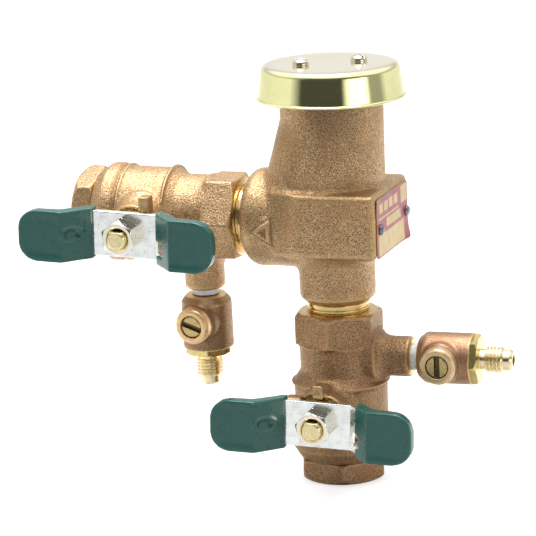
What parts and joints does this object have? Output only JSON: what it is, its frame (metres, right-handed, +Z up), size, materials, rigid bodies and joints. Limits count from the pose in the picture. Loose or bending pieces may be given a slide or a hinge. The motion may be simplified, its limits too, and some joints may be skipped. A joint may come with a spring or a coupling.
{
  "type": "backflow preventer",
  "caption": "Cast bronze pressure vacuum breaker for a half-inch irrigation line, with a shut-off ball valve and a test cock at the inlet and at the outlet.",
  "frame": {"origin": "centre of the inlet port's mouth, on the lower valve's end face", "axes": "+Z up along the inlet water way; -X out through the outlet port; -Y out along the valve stems, towards the handles"},
  "size_m": [0.1657, 0.0685, 0.1509],
  "materials": {
    "cast_bronze": "sand-cast, matte, fine grain",
    "polished_brass": "pressed and polished",
    "machined_brass": "machined",
    "zinc_steel": "zinc plated sheet",
    "nickel_steel": "nickel plated",
    "green_vinyl": "dipped vinyl, glossy",
    "white_ptfe": "PTFE",
    "black_rubber": "moulded rubber",
    "acetal": "moulded acetal",
    "stainless": "drawn wire",
    "chrome_ball": "plated and polished",
    "tag_plate": "lacquered plate"
  },
  "bodies": {
    "housing": {"body": "cast_bronze", "canopy": "polished_brass", "canopy_screws": "nickel_steel", "bonnet": "machined_brass", "bonnet_o_ring": "black_rubber", "check_seat": "machined_brass", "guide_bridge": "machined_brass", "check_spring": "stainless", "vent_spring": "stainless", "id_tag": "tag_plate", "tag_drive_screws": "machined_brass", "inlet_nipple": "machined_brass", "outlet_nipple": "machined_brass", "inlet_valve_body": "cast_bronze", "inlet_end_connector": "cast_bronze", "inlet_ball_seats": "white_ptfe", "inlet_thrust_washer": "white_ptfe", "inlet_stem_packing": "white_ptfe", "inlet_packing_gland": "machined_brass", "inlet_test_cock_body": "cast_bronze", "inlet_test_tape": "white_ptfe", "inlet_test_cock_seats": "white_ptfe", "inlet_test_cock_flare": "machined_brass", "outlet_valve_body": "cast_bronze", "outlet_end_connector": "cast_bronze", "outlet_ball_seats": "white_ptfe", "outlet_thrust_washer": "white_ptfe", "outlet_stem_packing": "white_ptfe", "outlet_packing_gland": "machined_brass", "outlet_test_cock_body": "cast_bronze", "outlet_test_tape": "white_ptfe", "outlet_test_cock_seats": "white_ptfe", "outlet_test_cock_flare": "machined_brass"},
    "check": {"check_poppet": "acetal", "check_disc": "black_rubber", "check_disc_retainer": "machined_brass"},
    "vent": {"vent_float": "acetal", "vent_disc": "black_rubber", "vent_disc_retainer": "machined_brass"},
    "inlet_turn": {"inlet_ball": "chrome_ball", "inlet_stem": "machined_brass", "inlet_handle": "zinc_steel", "inlet_handle_grips": "green_vinyl", "inlet_handle_nut": "nickel_steel"},
    "inlet_cock_turn": {"inlet_test_cock_ball": "chrome_ball", "inlet_test_cock_stem": "machined_brass", "inlet_test_cock_o_ring": "black_rubber"},
    "outlet_turn": {"outlet_ball": "chrome_ball", "outlet_stem": "machined_brass", "outlet_handle": "zinc_steel", "outlet_handle_grips": "green_vinyl", "outlet_handle_nut": "nickel_steel"},
    "outlet_cock_turn": {"outlet_test_cock_ball": "chrome_ball", "outlet_test_cock_stem": "machined_brass", "outlet_test_cock_o_ring": "black_rubber"}
  },
  "joints": [
    {"name": "inlet_valve_turn", "type": "hinge", "parent": "housing", "child": "inlet_turn", "pos_m": [0, 0, 0.0275], "axis": [0.0349, -0.9994, 0], "range_deg": [0, 92.3]},
    {"name": "outlet_valve_turn", "type": "hinge", "parent": "housing", "child": "outlet_turn", "pos_m": [-0.0671, 0, 0.0935], "axis": [0, -0.9994, -0.0349], "range_deg": [-90, 2.3]},
    {"name": "inlet_cock_turn_joint", "type": "hinge", "parent": "housing", "child": "inlet_cock_turn", "pos_m": [0.03828, 0.00134, 0.0446], "axis": [0.0349, -0.9994, 0], "range_deg": [0, 90]},
    {"name": "outlet_cock_turn_joint", "type": "hinge", "parent": "housing", "child": "outlet_cock_turn", "pos_m": [-0.05, 0.00134, 0.05522], "axis": [-0.1132, -0.993, -0.0347], "range_deg": [0, 108]},
    {"name": "check_lift", "type": "slide", "parent": "housing", "child": "check", "axis": [0, 0, 1], "range_m": [0, 0.0055], "deforming": ["check_spring"]},
    {"name": "vent_lift", "type": "slide", "parent": "housing", "child": "vent", "axis": [0, 0, 1], "range_m": [0, 0.005], "deforming": ["vent_spring"]}
  ]
}
